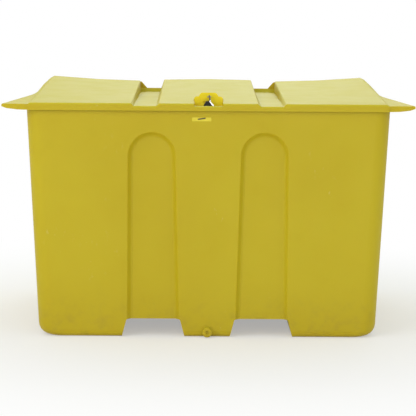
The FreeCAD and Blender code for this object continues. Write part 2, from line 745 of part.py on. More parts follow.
def hump_rows(grow):
    # Stepped arch of the pocket's rear wall: x, z at the wall and z where the hump ends
    half = size("pocket_half") + size("hump_skirt") - grow
    mid = size("hump_mid_half") - grow
    side = above("hump_side") - grow
    top = above("hump_top") - grow
    low = above("lip_above") - size("hump_root")
    end = above("lip_above") + size("hump_end") - grow
    soft = size("hump_shoulder")
    rows = [(half, low, low)]
    for inward, drop in SIDE_LOBE:
        rows.append((half - inward * soft, side - drop * soft, end))
    rows.append((mid + size("notch_out"), side, end))
    rows.append((mid - size("notch_in"), side + soft / 2, end + size("notch_lift")))
    for inward, drop, lift in MIDDLE_LOBE:
        rows.append((mid - inward * soft, top - drop * soft, end + lift))
    return rows


def hump(grow):
    rows = hump_rows(grow)
    wires = []
    y_wall = -depth_at("pocket_depth") + grow
    y_end = y_wall + size("hump_len") - 2 * grow
    y_mid = (y_wall + y_end) / 2
    for y, share in ((y_wall, 0.0), (y_mid, HUMP_BEND), (y_end, 1.0)):
        right = [(x, z + share * (z_end - z)) for x, z, z_end in rows]
        points = [Vector(x, y, z) for x, z in right]
        points += [Vector(-x, y, z) for x, z in reversed(right)]
        wires.append(polygon(points))
    return ruled_solid(wires)


def pocket_cutters(grow):
    # The lock pocket, open to the front and above, and the well behind its rounded sill
    half = size("pocket_half") + grow
    back = -depth_at("pocket_depth") + grow
    front = -lid_front()
    sill = above("sill_above") - grow
    high = above("hump_top") + 2 * CUT_SPARE
    soft = size("sill_soft")
    if grow > 0:
        profile = [(front - CUT_SPARE, sill)]
    else:
        profile = [(front - CUT_SPARE, sill - soft)]
        profile += [(front + inward * soft, sill - drop * soft) for inward, drop in SILL_ROUND]
    profile += [(back, sill), (back, high), (front - CUT_SPARE, high)]
    upper = Part.Face(polygon([Vector(-half, y, z) for y, z in profile])).extrude(Vector(2 * half, 0, 0))
    well_half = size("well_half") + grow
    well = box(-well_half, well_half, -depth_at("well_inset") - grow, back,
               below("well_below") - grow, sill + CUT_OVER)
    return [upper, well]


def make_lid():
    skin = size("lid_wall")
    outer = lid_block().cut(ledge_steps(0.0))
    outer = outer.fuse([hump(0.0)])
    outer = outer.cut(pocket_cutters(0.0))
    hollow = lid_hollow().cut(ledge_steps(skin))
    hollow = hollow.fuse([hump(skin)])
    hollow = hollow.cut(pocket_cutters(skin))
    shell = outer.cut(hollow)
    shell = shell.fuse(upstands())
    gap = size("tongue_gap")
    slot = box(size("tongue_x") - size("tongue_wid") / 2 - gap,
               size("tongue_x") + size("tongue_wid") / 2 + gap,
               -depth_at("tongue_depth") - size("tongue_wall") - gap, -depth_at("tongue_depth") + gap,
               below("well_below") - CUT_SPARE, below("well_below") + CUT_OVER)
    holes = [slot] + lid_hinge_holes()
    for sign in (-1, 1):
        holes.append(y_cylinder(size("eye_rad") + NUT_PLAY, -depth_at("pocket_depth") - CUT_SHORT,
                                -depth_at("pocket_depth") + CUT_SPARE,
                                size("eye_x") + sign * size("eye_half"), above("eye_above")))
    return shell.cut(holes)


def sketch_wire(body, name, role, points):
    # A closed outline of straight lines on one of the body's own planes
    plane = [item for item in body.Origin.OriginFeatures if item.Role == role][0]
    sketch = body.newObject("Sketcher::SketchObject", name)
    sketch.AttachmentSupport = [(plane, "")]
    sketch.MapMode = "FlatFace"
    for index, (x, y) in enumerate(points):
        next_x, next_y = points[(index + 1) % len(points)]
        sketch.addGeometry(Part.LineSegment(Vector(x, y, 0), Vector(next_x, next_y, 0)), False)
    return sketch


def sketch_circles(body, name, role, circles):
    plane = [item for item in body.Origin.OriginFeatures if item.Role == role][0]
    sketch = body.newObject("Sketcher::SketchObject", name)
    sketch.AttachmentSupport = [(plane, "")]
    sketch.MapMode = "FlatFace"
    for x, y, radius in circles:
        sketch.addGeometry(Part.Circle(Vector(x, y, 0), Z_AXIS, radius), False)
    return sketch


def padded(body, name, sketch, alias, both_ways):
    # Pad of a sketch, its length bound to a size of the sheet
    pad = body.newObject("PartDesign::Pad", name)
    pad.Profile = sketch
    pad.Length = size(alias)
    pad.setExpression("Length", "Sheet." + alias)
    pad.Midplane = both_ways
    doc.recompute()
    return pad


def cut_through(body, name, sketch):
    # Cut of a sketch through the whole body, both ways
    pocket = body.newObject("PartDesign::Pocket", name)
    pocket.Profile = sketch
    pocket.Type = "ThroughAll"
    pocket.Midplane = True
    doc.recompute()


def seat_pad(pad, sketch, low_y):
    # Shifts a pad's sketch along its normal until the pad starts at a place along Y
    away = low_y - pad.Shape.BoundBox.YMin
    for shift in (-away, away):
        sketch.AttachmentOffset = Placement(Vector(0, 0, shift), Rotation())
        doc.recompute()
        if abs(pad.Shape.BoundBox.YMin - low_y) < NUT_PLAY:
            return


def cut_bolt_holes(body, label, down):
    bolt_rad = size("bolt_rad") + NUT_PLAY
    circles = [(spot.x, spot.z, bolt_rad) for spot in bolt_spots(down)]
    sketch = sketch_circles(body, label + "_holes", "XZ_Plane", circles)
    cut_through(body, label + "_bolt_holes", sketch)


def make_leaf(label, sign, down):
    # A hinge leaf: plate, knuckles, pin hole and bolt holes
    body = doc.addObject("PartDesign::Body", label)
    way = -1 if down else 1
    half = size("hinge_len") / 2
    near = way * size("leaf_start")
    far = way * size("leaf_height")
    plate_sketch = sketch_wire(body, label + "_plate", "XZ_Plane",
                               [(-half, near), (half, near), (half, far), (-half, far)])
    plate = padded(body, label + "_pad", plate_sketch, "leaf_wall", False)
    seat_pad(plate, plate_sketch, hinge_face(down))
    knuckle_sketch = sketch_circles(body, label + "_round", "YZ_Plane",
                                    [(0, 0, size("knuckle_rad"))])
    padded(body, label + "_knuckle", knuckle_sketch, "hinge_len", True)
    third = size("hinge_len") / 3
    clear = size("knuckle_rad") + size("knuckle_clear")
    gap = size("knuckle_gap") / 2
    if down:
        spans = [(-third / 2 - gap, third / 2 + gap)]
    else:
        spans = [(-half - CUT_OVER, -third / 2 + gap), (third / 2 - gap, half + CUT_OVER)]
    for number, (x0, x1) in enumerate(spans):
        gap_sketch = sketch_wire(body, "%s_gap%d" % (label, number), "XZ_Plane",
                                 [(x0, -clear), (x1, -clear), (x1, clear), (x0, clear)])
        cut_through(body, "%s_notch%d" % (label, number), gap_sketch)
    pin_rad = size("hinge_pin_rad") + (0 if down else size("hinge_play"))
    pin_sketch = sketch_circles(body, label + "_bore", "YZ_Plane", [(0, 0, pin_rad)])
    cut_through(body, label + "_pin_hole", pin_sketch)
    cut_bolt_holes(body, label, down)
    body.Placement = leaf_placement(sign, down)
    return keep(body, label)


def make_pin(label, sign):
    # A plain hinge pin with chamfered ends
    body = doc.addObject("PartDesign::Body", label)
    sketch = sketch_circles(body, label + "_round", "YZ_Plane", [(0, 0, size("hinge_pin_rad"))])
    pin = padded(body, label + "_pad", sketch, "hinge_len", True)
    chamfer = body.newObject("PartDesign::Chamfer", label + "_ends")
    chamfer.Base = (pin, ["Face2", "Face3"])
    chamfer.Size = size("pin_chamfer")
    chamfer.setExpression("Size", "Sheet.pin_chamfer")
    doc.recompute()
    body.Placement = leaf_placement(sign, False)
    return keep(body, label)


def make_plate(label, sign, down):
    # The backing plate inside the wall, behind one hinge leaf
    body = doc.addObject("PartDesign::Body", label)
    way = -1 if down else 1
    half = size("hinge_len") / 2
    wall = size("rim_wall") if down else size("lid_wall")
    near = way * (size("leaf_bolt_low") - size("plate_edge"))
    far = way * (size("leaf_bolt_high") + size("plate_edge"))
    sketch = sketch_wire(body, label + "_outline", "XZ_Plane",
                         [(-half, near), (half, near), (half, far), (-half, far)])
    pad = padded(body, label + "_pad", sketch, "plate_wall", False)
    seat_pad(pad, sketch, hinge_face(down) - wall - size("plate_wall"))
    cut_bolt_holes(body, label, down)
    body.Placement = leaf_placement(sign, down)
    return keep(body, label)


def hex_prism(length):
    # Hexagon of the bolt's width across flats, along +Y from the origin
    radius = size("bolt_head_wid") / math.sqrt(3)
    points = []
    for corner in range(HEX_SIDES):
        angle = math.radians(FULL_TURN * corner / HEX_SIDES)
        points.append(Vector(radius * math.cos(angle), 0, radius * math.sin(angle)))
    return Part.Face(polygon(points)).extrude(Vector(0, length, 0))


def bolt(shank):
    # Bolt along -Y, its head's underside at the origin
    head = hex_prism(size("bolt_head_len"))
    body = y_cylinder(size("bolt_rad"), -shank, 0, 0, 0)
    return head.fuse(body).removeSplitter()


def nut():
    # Nut along -Y from the origin
    block = hex_prism(size("nut_len"))
    block.translate(Vector(0, -size("nut_len"), 0))
    hole = y_cylinder(size("bolt_rad") + NUT_PLAY, -size("nut_len") - CUT_OVER, CUT_OVER, 0, 0)
    return block.cut(hole)


def hinge_fasteners(down):
    # Bolts and nuts of the left and right leaves of one kind
    wall = size("rim_wall") if down else size("lid_wall")
    face = hinge_face(down)
    outer = face + size("leaf_wall")
    inner = face - wall - size("plate_wall")
    shank = outer - inner + size("nut_len") + size("bolt_end")
    bolts = []
    nuts = []
    for sign in (-1, 1):
        place = leaf_placement(sign, down)
        for spot in bolt_spots(down):
            one_bolt = bolt(shank)
            one_bolt.Placement = place.multiply(Placement(Vector(spot.x, outer, spot.z), Rotation()))
            one_nut = nut()
            one_nut.Placement = place.multiply(Placement(Vector(spot.x, inner, spot.z), Rotation()))
            bolts.append(one_bolt)
            nuts.append(one_nut)
    return Part.makeCompound(bolts), Part.makeCompound(nuts)


def make_tongue():
    # Bent strip: a foot on the tub wall, an arm under the well and a tongue through the slot
    x = size("tongue_x")
    half = size("tongue_wid") / 2
    wall = size("tongue_wall")
    arm = below("arm_below")
    back = -depth_at("tongue_depth")
    top = above("tongue_above")
    foot_low = arm - size("tongue_foot") - wall

    def inner(z):
        return -foot_face(z) + size("rim_wall")

    points = [
        Vector(x - half, inner(foot_low), foot_low), Vector(x - half, inner(arm), arm),
        Vector(x - half, back - wall, arm), Vector(x - half, back - wall, top),
        Vector(x - half, back, top), Vector(x - half, back, arm - wall),
        Vector(x - half, inner(arm - wall) + wall, arm - wall),
        Vector(x - half, inner(foot_low) + wall, foot_low),
    ]
    strip = Part.Face(polygon(points)).extrude(Vector(2 * half, 0, 0))
    top_edges = [edge for edge in strip.Edges
                 if all(abs(vertex.Z - top) < NUT_PLAY for vertex in edge.Vertexes)
                 and abs(edge.Vertexes[0].Y - edge.Vertexes[-1].Y) > NUT_PLAY]
    strip = strip.makeFillet(size("tongue_corner"), top_edges)
    holes = [y_cylinder(size("tongue_hole_rad"), back - wall - CUT_OVER, back + CUT_OVER, x,
                        top - size("tongue_hole_drop"))]
    rim = size("rim_wall")
    for spot in tongue_bolt_spots():
        hole = y_cylinder(size("bolt_rad") + NUT_PLAY, rim - wall, rim + 2 * wall, spot.x, spot.z)
        hole.Placement = front_placement().multiply(hole.Placement)
        holes.append(hole)
    return strip.cut(holes)


def tongue_fasteners():
    # Flush heads outside on the tub's front, nuts inside on the foot
    inner = size("rim_wall") + size("tongue_wall")
    bolts = []
    nuts = []
    for spot in tongue_bolt_spots():
        bolts.append(sunk_bolt(spot, inner + size("nut_len") + size("bolt_end"), 0.0, 0.0))
        piece = nut()
        piece.translate(Vector(spot.x, inner + size("nut_len"), spot.z))
        nuts.append(piece)
    for piece in bolts + nuts:
        piece.Placement = front_placement().multiply(piece.Placement)
    return Part.makeCompound(bolts), Part.makeCompound(nuts)


def swept(points_edges, radius, start, direction):
    # A round bar along a path
    ring = Part.Wire([Part.makeCircle(radius, start, direction)])
    path = Part.Wire(points_edges)
    return path.makePipeShell([ring], True, True)


def make_eye():
    # Square-cornered U bolt through the pocket's rear wall, its front bar across
    x = size("eye_x")
    z = above("eye_above")
    half = size("eye_half")
    bend = size("eye_bend_rad")
    turn = bend * ARC_MIDDLE
    front = -depth_at("eye_depth")
    wall = size("lid_wall") + size("plate_wall")
    back = -depth_at("pocket_depth") + wall + size("nut_len") + size("bolt_end")
    edges = [Part.makeLine(Vector(x - half, back, z), Vector(x - half, front + bend, z))]
    edges.append(Part.Arc(Vector(x - half, front + bend, z), Vector(x - half + turn, front + turn, z),
                          Vector(x - half + bend, front, z)).toShape())
    edges.append(Part.makeLine(Vector(x - half + bend, front, z), Vector(x + half - bend, front, z)))
    edges.append(Part.Arc(Vector(x + half - bend, front, z), Vector(x + half - turn, front + turn, z),
                          Vector(x + half, front + bend, z)).toShape())
    edges.append(Part.makeLine(Vector(x + half, front + bend, z), Vector(x + half, back, z)))
    return swept(edges, size("eye_rad"), Vector(x - half, back, z), Y_AXIS)


def eye_spots():
    return [Vector(size("eye_x") + sign * size("eye_half"), 0, above("eye_above")) for sign in (-1, 1)]


def make_eye_plate():
    y0 = -depth_at("pocket_depth") + size("lid_wall")
    y1 = y0 + size("plate_wall")
    x = size("eye_x")
    z = above("eye_above")
    half = size("eye_plate_half")
    rise = size("eye_plate_rise")
    plate = box(x - half, x + half, y0, y1, z - rise, z + rise)
    radius = size("eye_rad") + NUT_PLAY
    return plate.cut([y_cylinder(radius, y0 - CUT_OVER, y1 + CUT_OVER, spot.x, spot.z)
                      for spot in eye_spots()])


def make_eye_nuts():
    nuts = []
    y0 = -depth_at("pocket_depth") + size("lid_wall") + size("plate_wall")
    y1 = y0 + size("nut_len")
    for spot in eye_spots():
        ring = y_cylinder(size("eye_rad") + size("eye_nut_wall"), y0, y1, spot.x, spot.z)
        hole = y_cylinder(size("eye_rad") + NUT_PLAY, y0 - CUT_OVER, y1 + CUT_OVER, spot.x, spot.z)
        nuts.append(ring.cut(hole))
    return Part.makeCompound(nuts)


def lock_placement():
    # The padlock's local frame: origin at the crown of the shackle, legs along local -Z
    lift = size("eye_rad") + size("shackle_rad") + LOOSE_GAP
    base = Vector(size("eye_x"), -depth_at("eye_depth"), above("eye_above") + lift)
    return Placement(base, Rotation(Y_AXIS, -size("lock_tilt")))


def make_shackle():
    # The long leg is held in the padlock, the free leg is swung to the front
    half = size("shackle_half")
    long_end = -size("shackle_drop") - size("shackle_hold")
    edges = [
        Part.makeLine(Vector(0, half, long_end), Vector(0, half, -half)),
        Part.Arc(Vector(0, half, -half), Vector(0, 0, 0), Vector(0, -half, -half)).toShape(),
        Part.makeLine(Vector(0, -half, -half), Vector(0, -half, -half - size("shackle_short"))),
    ]
    return swept(edges, size("shackle_rad"), Vector(0, half, long_end), Z_AXIS)


def lock_outline():
    # Front outline of the padlock in its local frame: a flat top and sloping shoulders
    middle = -size("shackle_half")
    half = size("lock_wid") / 2
    half_top = size("lock_top_wid") / 2
    top = -size("shackle_drop")
    low = top - size("lock_height")
    shoulder = top - size("lock_shoulder")
    y = size("shackle_half") - size("lock_wall") / 2
    corner = size("lock_edge_rad")
    points = [
        Vector(middle + half_top, y, top), Vector(middle - half_top, y, top),
        Vector(middle - half, y, shoulder), Vector(middle - half, y, low),
        Vector(middle + half, y, low), Vector(middle + half, y, shoulder),
    ]
    return softened(points, [corner] * len(points))


def lock_block():
    # Padlock with soft front and rear edges
    wall = size("lock_wall")
    block = Part.Face(polygon(lock_outline())).extrude(Vector(0, wall, 0))
    front = size("shackle_half") - wall / 2
    ends = [front, front + wall]
    rim = [edge for edge in block.Edges
           if any(all(abs(vertex.Y - end) < NUT_PLAY for vertex in edge.Vertexes) for end in ends)]
    return block.makeChamfer(size("lock_chamfer"), rim)


def case_zone():
    # Space of the bare steel shoulder, on the long leg's side
    middle = -size("shackle_half")
    half = size("lock_wid") / 2
    half_top = size("lock_top_wid") / 2
    top = -size("shackle_drop")
    shoulder = top - size("lock_shoulder")
    slope = Vector(half - half_top, 0, shoulder - top).normalize()
    inward = Vector(slope.z, 0, -slope.x) * size("lock_case_wid")
    first = Vector(middle + half_top, -2 * CUT_SPARE, top) - slope * CUT_SPARE
    last = Vector(middle + half, -2 * CUT_SPARE, shoulder) + slope * size("lock_case_past")
    out = inward * -2
    face = Part.Face(polygon([first + inward, last + inward, last + out, first + out]))
    return face.extrude(Vector(0, 4 * CUT_SPARE, 0))


def lock_holes():
    half = size("shackle_half")
    top = -size("shackle_drop")
    low = top - size("lock_height")
    play = size("hinge_play")
    deep = size("shackle_hold") + size("hold_spare") + size("lock_travel")
    long_hole = Part.makeCylinder(size("shackle_rad") + play, deep + CUT_OVER,
                                  Vector(0, half, top - deep), Z_AXIS)
    short_hole = Part.makeCylinder(size("shackle_rad") + size("shackle_play"),
                                   size("shackle_short") + CUT_SPARE,
                                   Vector(-2 * half, half, top - size("shackle_short")), Z_AXIS)
    core = Part.makeCylinder(size("cylinder_rad") + play, size("cylinder_len") + CUT_OVER,
                             Vector(-half, half, low - CUT_OVER), Z_AXIS)
    return [long_hole, short_hole, core]


def make_lock_body():
    # Black jacket over the padlock, all but one shoulder
    return lock_block().cut(case_zone()).cut(lock_holes())


def make_lock_case():
    # The bare steel shoulder
    return lock_block().common(case_zone()).cut(lock_holes())


def make_cylinder():
    # Key cylinder with its keyway, in the padlock's lower face
    half = size("shackle_half")
    low = -size("shackle_drop") - size("lock_height")
    body = Part.makeCylinder(size("cylinder_rad"), size("cylinder_len") - size("cylinder_inset"),
                             Vector(-half, half, low), Z_AXIS)
    key_half = size("keyway_wid") / 2
    key_start = half - size("keyway_len") + size("keyway_past")
    keyway = box(-half - key_half, -half + key_half, key_start, key_start + size("keyway_len"),
                 low - CUT_OVER, low + size("keyway_depth"))
    return body.cut(keyway)


def revolved(label, points, placement):
    # A turned piece: its outline in the XZ plane turned about Z
    body = doc.addObject("PartDesign::Body", label)
    sketch = sketch_wire(body, label + "_outline", "XZ_Plane", points)
    turn = body.newObject("PartDesign::Revolution", label + "_turn")
    turn.Profile = sketch
    turn.ReferenceAxis = (sketch, ["V_Axis"])
    turn.Angle = FULL_TURN
    doc.recompute()
    body.Placement = placement
    return body


def drain_placement():
    # Local +Z points out of the tub's front
    base = Vector(0, -foot_face(size("drain_height")) - size("tub_wall"), size("drain_height"))
    return Placement(base, Rotation(X_AXIS, RIGHT_ANGLE))


def make_bush():
    # Bush in the tub's wall with a flange outside
    inner = size("plug_rad") + size("hinge_play")
    flange = size("bush_flange_len")
    bush = revolved("drain_bush", [
        (inner, -size("boss_len")), (size("bush_rad"), -size("boss_len")),
        (size("bush_rad"), 0), (size("bush_flange_rad"), 0),
        (size("bush_flange_rad"), flange), (inner, flange),
    ], drain_placement())
    keep(bush, "drain_bush")


def make_seal():
    # Flat ring between the bush's flange and the plug's cap
    inner = size("plug_rad") + size("seal_play")
    outer = size("plug_cap_rad") - size("seal_inset")
    low = size("bush_flange_len")
    high = low + size("seal_len")
    seal = revolved("drain_seal", [(inner, low), (outer, low), (outer, high), (inner, high)],
                    drain_placement())
    keep(seal, "drain_seal")


def make_plug():
    # Plug with a chamfered shank and a dished cap
    shank = size("plug_rad")
    soft = size("plug_chamfer")
    cap = size("plug_cap_rad")
    seat = size("bush_flange_len") + size("seal_len")
    edge = seat + size("cap_edge_len")
    brow = edge + size("cap_soft_len")
    mouth = brow + size("dish_rise")
    floor = mouth - size("dish_depth")
    plug = revolved("drain_plug", [
        (0, -size("boss_len")), (shank - soft, -size("boss_len")),
        (shank, -size("boss_len") + soft), (shank, seat), (cap, seat), (cap, edge),
        (cap - size("cap_soft_wid"), brow), (size("dish_rad"), mouth),
        (size("dish_floor_rad"), floor), (0, floor - size("dish_sink")),
    ], drain_placement())
    keep(plug, "drain_plug")


def build():
    shape_node("tub", make_tub())
    shape_node("lid", make_lid())
    for side, sign in (("left", -1), ("right", 1)):
        make_leaf("hinge_tub_leaf_" + side, sign, True)
        make_leaf("hinge_lid_leaf_" + side, sign, False)
        make_pin("hinge_pin_" + side, sign)
        make_plate("hinge_tub_plate_" + side, sign, True)
        make_plate("hinge_lid_plate_" + side, sign, False)
    for name, down in (("hinge_tub", True), ("hinge_lid", False)):
        bolts, nuts = hinge_fasteners(down)
        shape_node(name + "_bolts", bolts)
        shape_node(name + "_nuts", nuts)
    shape_node("lock_tongue", make_tongue())
    bolts, nuts = tongue_fasteners()
    shape_node("tongue_bolts", bolts)
    shape_node("tongue_nuts", nuts)
    shape_node("padlock_eye", make_eye())
    shape_node("eye_plate", make_eye_plate())
    shape_node("eye_nuts", make_eye_nuts())
    shape_node("padlock_shackle", make_shackle(), lock_placement())
    shape_node("padlock_body", make_lock_body(), lock_placement())
    shape_node("padlock_case", make_lock_case(), lock_placement())
    shape_node("padlock_cylinder", make_cylinder(), lock_placement())
    make_bush()
    make_seal()
    make_plug()


def check_and_export():
    doc.recompute()
    for obj in doc.Objects:
        if "Invalid" in obj.State or "Error" in obj.State:
            raise RuntimeError("object %s is in state %s" % (obj.Label, obj.State))
    bad = [obj.Label for obj in node_objects if obj.Shape.isNull() or not obj.Shape.isValid()]
    if bad:
        raise RuntimeError("shapes that are not valid: " + ", ".join(bad))
    os.makedirs("parts", exist_ok=True)
    for obj in node_objects:
        obj.Shape.exportStep("parts/%s.step" % obj.Label)
        bounds = obj.Shape.BoundBox
        print("%-24s solids %2d volume %10.0f  x %7.1f %7.1f  y %7.1f %7.1f  z %7.1f %7.1f" % (
            obj.Label, len(obj.Shape.Solids), obj.Shape.Volume, bounds.XMin, bounds.XMax,
            bounds.YMin, bounds.YMax, bounds.ZMin, bounds.ZMax))


build()
check_and_export()
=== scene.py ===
import bpy
import itertools
import json
import math
from mathutils import Matrix, Vector


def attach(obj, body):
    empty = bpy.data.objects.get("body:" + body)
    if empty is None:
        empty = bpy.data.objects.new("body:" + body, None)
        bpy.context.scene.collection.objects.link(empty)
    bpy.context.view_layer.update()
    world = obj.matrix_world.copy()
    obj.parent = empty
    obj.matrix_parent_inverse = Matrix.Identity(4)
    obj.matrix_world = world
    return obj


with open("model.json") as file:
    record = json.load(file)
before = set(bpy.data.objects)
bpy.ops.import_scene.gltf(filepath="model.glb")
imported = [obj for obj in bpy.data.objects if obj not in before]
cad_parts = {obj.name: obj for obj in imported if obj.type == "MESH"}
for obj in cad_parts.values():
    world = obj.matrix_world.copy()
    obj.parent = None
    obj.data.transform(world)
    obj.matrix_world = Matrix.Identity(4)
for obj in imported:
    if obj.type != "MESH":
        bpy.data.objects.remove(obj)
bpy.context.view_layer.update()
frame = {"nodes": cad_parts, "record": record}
NODES = frame["nodes"]

# Places and lengths are in metres, angles in radians, lens and sensor in millimetres

# Camera, fitted to the picture's own edges
CAMERA_AT = Vector((-0.0304, -6.3713, 1.1621))
CAMERA_PITCH = 0.1101
CAMERA_YAW = -0.0053
CAMERA_ROLL = 0.0069
CAMERA_LENS = 126.8
SENSOR = 36.0
CLIP_NEAR = 0.05
CLIP_FAR = 200.0

# Inside of the lock pocket, where the plastic is painted brighter as painted light, with the width of its
# soft border
POCKET_LOW = (-0.0572, -0.5690, 0.8900)
POCKET_HIGH = (0.0572, -0.5025, 0.9800)
POCKET_BORDER = 0.001

# Upward part of a face's normal from which the sun bleaches it and a painted sky sheen lightens it, and
# where both are full
BLEACH_AND_SHEEN_START = 0.05
BLEACH_AND_SHEEN_FULL = 0.60

# Height up to which the plastic turns deeper yellow towards the bottom and mud splashes from the ground
SPLASH_TOP = 0.24

# Heights between which the shackle's bow turns dark, as painted shade
BOW_SHADE_START = 0.947
BOW_SHADE_FULL = 0.951

# Painted edge on the padlock's shoulder: its height at the middle, its slant, and where beside it
# the steel is bare and where it is painted
EDGE_HEIGHT = 0.9475
EDGE_SLANT = 0.78
EDGE_BARE = 0.0002
EDGE_PAINTED = -0.0006

# Label on the tub's front, which leans out by 9 mm over 916.5 mm of height
LABEL_AT = Vector((-0.02675, -0.5918, 0.87435))
LABEL_HALF_WIDTH = 0.03825
LABEL_HALF_HEIGHT = 0.0079
LABEL_THICK = 0.0012
LABEL_CORNER = 0.003
LABEL_CORNER_POINTS = 4
LABEL_EDGE = 0.0004
FRONT_LEAN = math.atan(9.0 / 916.5)

# Dark stroke on the label: its slant and rise, then half its height and half its length, each as
# the distance where it ends and the one where it is full
STROKE_SLANT = 0.16
STROKE_RISE = 0.0026
STROKE_HALF_HEIGHT = (0.0036, 0.0022)
STROKE_HALF_LENGTH = (0.0165, 0.0140)

# Pan under the lock pocket as a grid of cells: cuts along each axis, and the cells of its slot
PAN_X = (-0.0553, -0.0497, -0.0350, -0.0020, 0.0497, 0.0553)
PAN_Y = (-0.5733, -0.5677, -0.5190, -0.5080, -0.5043, -0.4987)
PAN_Z = (0.8910, 0.8960, 0.9100)
PAN_SLOT_COLUMN = 2
PAN_SLOT_ROW = 2

# Ground, a disk that turns white between two distances from the object
FLOOR_RADIUS = 60.0
FLOOR_SIDES = 96
FLOOR_GLOW = 0.38
FADE_START = 0.9
FADE_END = 2.6

# Colours in sRGB, 0 to 1
YELLOW = (0.722, 0.640, 0.050)
YELLOW_PALE = (0.742, 0.668, 0.085)
YELLOW_DEEP = (0.680, 0.585, 0.040)
# Faded yellow: partly real sun fading, partly a painted sky sheen on upward faces
YELLOW_FADED_AND_SHEEN = (0.745, 0.697, 0.110)
# Brighter yellow, painted light inside the lock pocket and on its tongue
YELLOW_PAINTED_LIGHT = (0.960, 0.855, 0.060)
GRIME = (0.36, 0.33, 0.20)
MUD = (0.40, 0.35, 0.22)
CHALK = (0.88, 0.86, 0.62)
BLACK = (0.035, 0.035, 0.042)
DUST = (0.30, 0.29, 0.26)
ZINC = (0.66, 0.67, 0.68)
ZINC_DARK = (0.54, 0.55, 0.56)
ZINC_BRIGHT = (0.82, 0.83, 0.84)
STEEL = (0.93, 0.93, 0.94)
STEEL_WORN = (0.80, 0.80, 0.81)
# Dark steel colour, painted shade on the shackle's bow
STEEL_SHADED = (0.40, 0.37, 0.34)
RUST = (0.35, 0.20, 0.11)
BRASS = (0.72, 0.58, 0.30)
BRASS_TARNISHED = (0.42, 0.32, 0.16)
RUBBER = (0.05, 0.05, 0.05)
RUBBER_WORN = (0.12, 0.12, 0.115)
LABEL = (0.840, 0.775, 0.120)
LABEL_DARK = (0.05, 0.048, 0.048)
FLOOR = (0.965, 0.950, 0.955)

# The most that each layer of colour may cover, 0 to 1
PATCH_SHARE = 0.15
BLEACH_AND_SHEEN_SHARE = 0.85
POCKET_LIGHT_SHARE = 0.9
LOW_SHARE = 0.28
MUD_SHARE = 0.17
SCUFF_SHARE = 0.16
SPECK_SHARE = 0.30
RUST_SHARE = 0.6
GRIME_SHARE = 0.5
DUST_SHARE = 0.08
STROKE_SHARE = 0.9

# Surfaces: gloss and metal values, roughness added on the bow that is painted dark and by paint, light in
# the plastic skin
SURFACE_IOR = 1.5
GLOSS = 0.5
GLOSS_LOW = 0.30
PLATED = 0.9
BARE_METAL = 1.0
DULL_ROUGH = 0.22
PAINT_ROUGH = 0.35
SKIN_GLOW = {"Weight": 0.25, "Radius": (1.0, 0.7, 0.2), "Scale": 0.02}

# Sky that lights the object, as linear colours, and the height share where it turns to the upper one
HORIZON = (1.0, 0.95, 0.88, 1.0)
ZENITH = (0.91, 1.0, 0.96, 1.0)
ZENITH_FROM = 0.7
SKY_STRENGTH = 0.80
WHITE = (1.0, 1.0, 1.0, 1.0)

# Lamps: name, place, aim, width, power in watts, linear colour
WARM = (1.0, 0.98, 0.93)
COOL = (0.94, 1.0, 0.97)
LAMPS = (
    ("sky_soft", (-3.4, -4.2, 3.2), (0.0, 0.0, 0.5), 4.5, 85.0, WARM),
    ("sky_front", (0.6, -7.2, 1.6), (0.0, 0.0, 0.6), 3.0, 55.0, WARM),
    ("sky_back", (0.3, 4.5, 4.4), (0.0, 0.0, 0.8), 4.5, 95.0, COOL),
)


def linear(colour):
    # sRGB to the linear values that shaders use
    out = [c / 12.92 if c <= 0.04045 else ((c + 0.055) / 1.055) ** 2.4 for c in colour]
    return (out[0], out[1], out[2], 1.0)


class Graph:
    # The node tree of a material or a sky, with short calls for the nodes it needs
    def __init__(self, owner):
        owner.use_nodes = True
        self.tree = owner.node_tree
        self.tree.nodes.clear()

    def feed(self, socket, value):
        # A socket is linked to another one or set to a plain value
        if isinstance(value, bpy.types.NodeSocket):
            self.tree.links.new(value, socket)
        else:
            socket.default_value = value

    def node(self, kind, inputs=None, **settings):
        # A node with its settings, and its inputs by name or by number
        made = self.tree.nodes.new("ShaderNode" + kind)
        for name, value in settings.items():
            setattr(made, name, value)
        for key, value in (inputs or {}).items():
            self.feed(made.inputs[key], value)
        return made

    def maths(self, operation, first, second):
        return self.node("Math", {0: first, 1: second}, operation=operation).outputs[0]

    def remap(self, value, low, high, to_low=0.0, to_high=1.0, curve="SMOOTHSTEP"):
        # The value's way from low to high, as a number from to_low to to_high
        inputs = {"Value": value, "From Min": low, "From Max": high, "To Min": to_low, "To Max": to_high}
        return self.node("MapRange", inputs, interpolation_type=curve).outputs["Result"]

    def mix(self, share, first, second):
        # Two colours mixed, through the sockets that the node has in use for colours
        made = self.node("Mix", data_type="RGBA")
        values = {"Factor": share, "A": first, "B": second}
        for socket in made.inputs:
            if socket.enabled and socket.name in values:
                self.feed(socket, values[socket.name])
        return next(output for output in made.outputs if output.enabled)

    def seen_rays(self):
        # 1 for rays from the camera and for mirrored ones, 0 for those that only light the object
        path = self.node("LightPath")
        return self.maths("MAXIMUM", path.outputs["Is Camera Ray"], path.outputs["Is Glossy Ray"])

    def finish_seen(self, kind, share, unseen, seen):
        # The tree's output of this kind: the first surface, with a share of the second
        mixed = self.node("MixShader", {0: share, 1: unseen.outputs[0], 2: seen.outputs[0]})
        self.node(kind, {"Surface": mixed.outputs[0]})


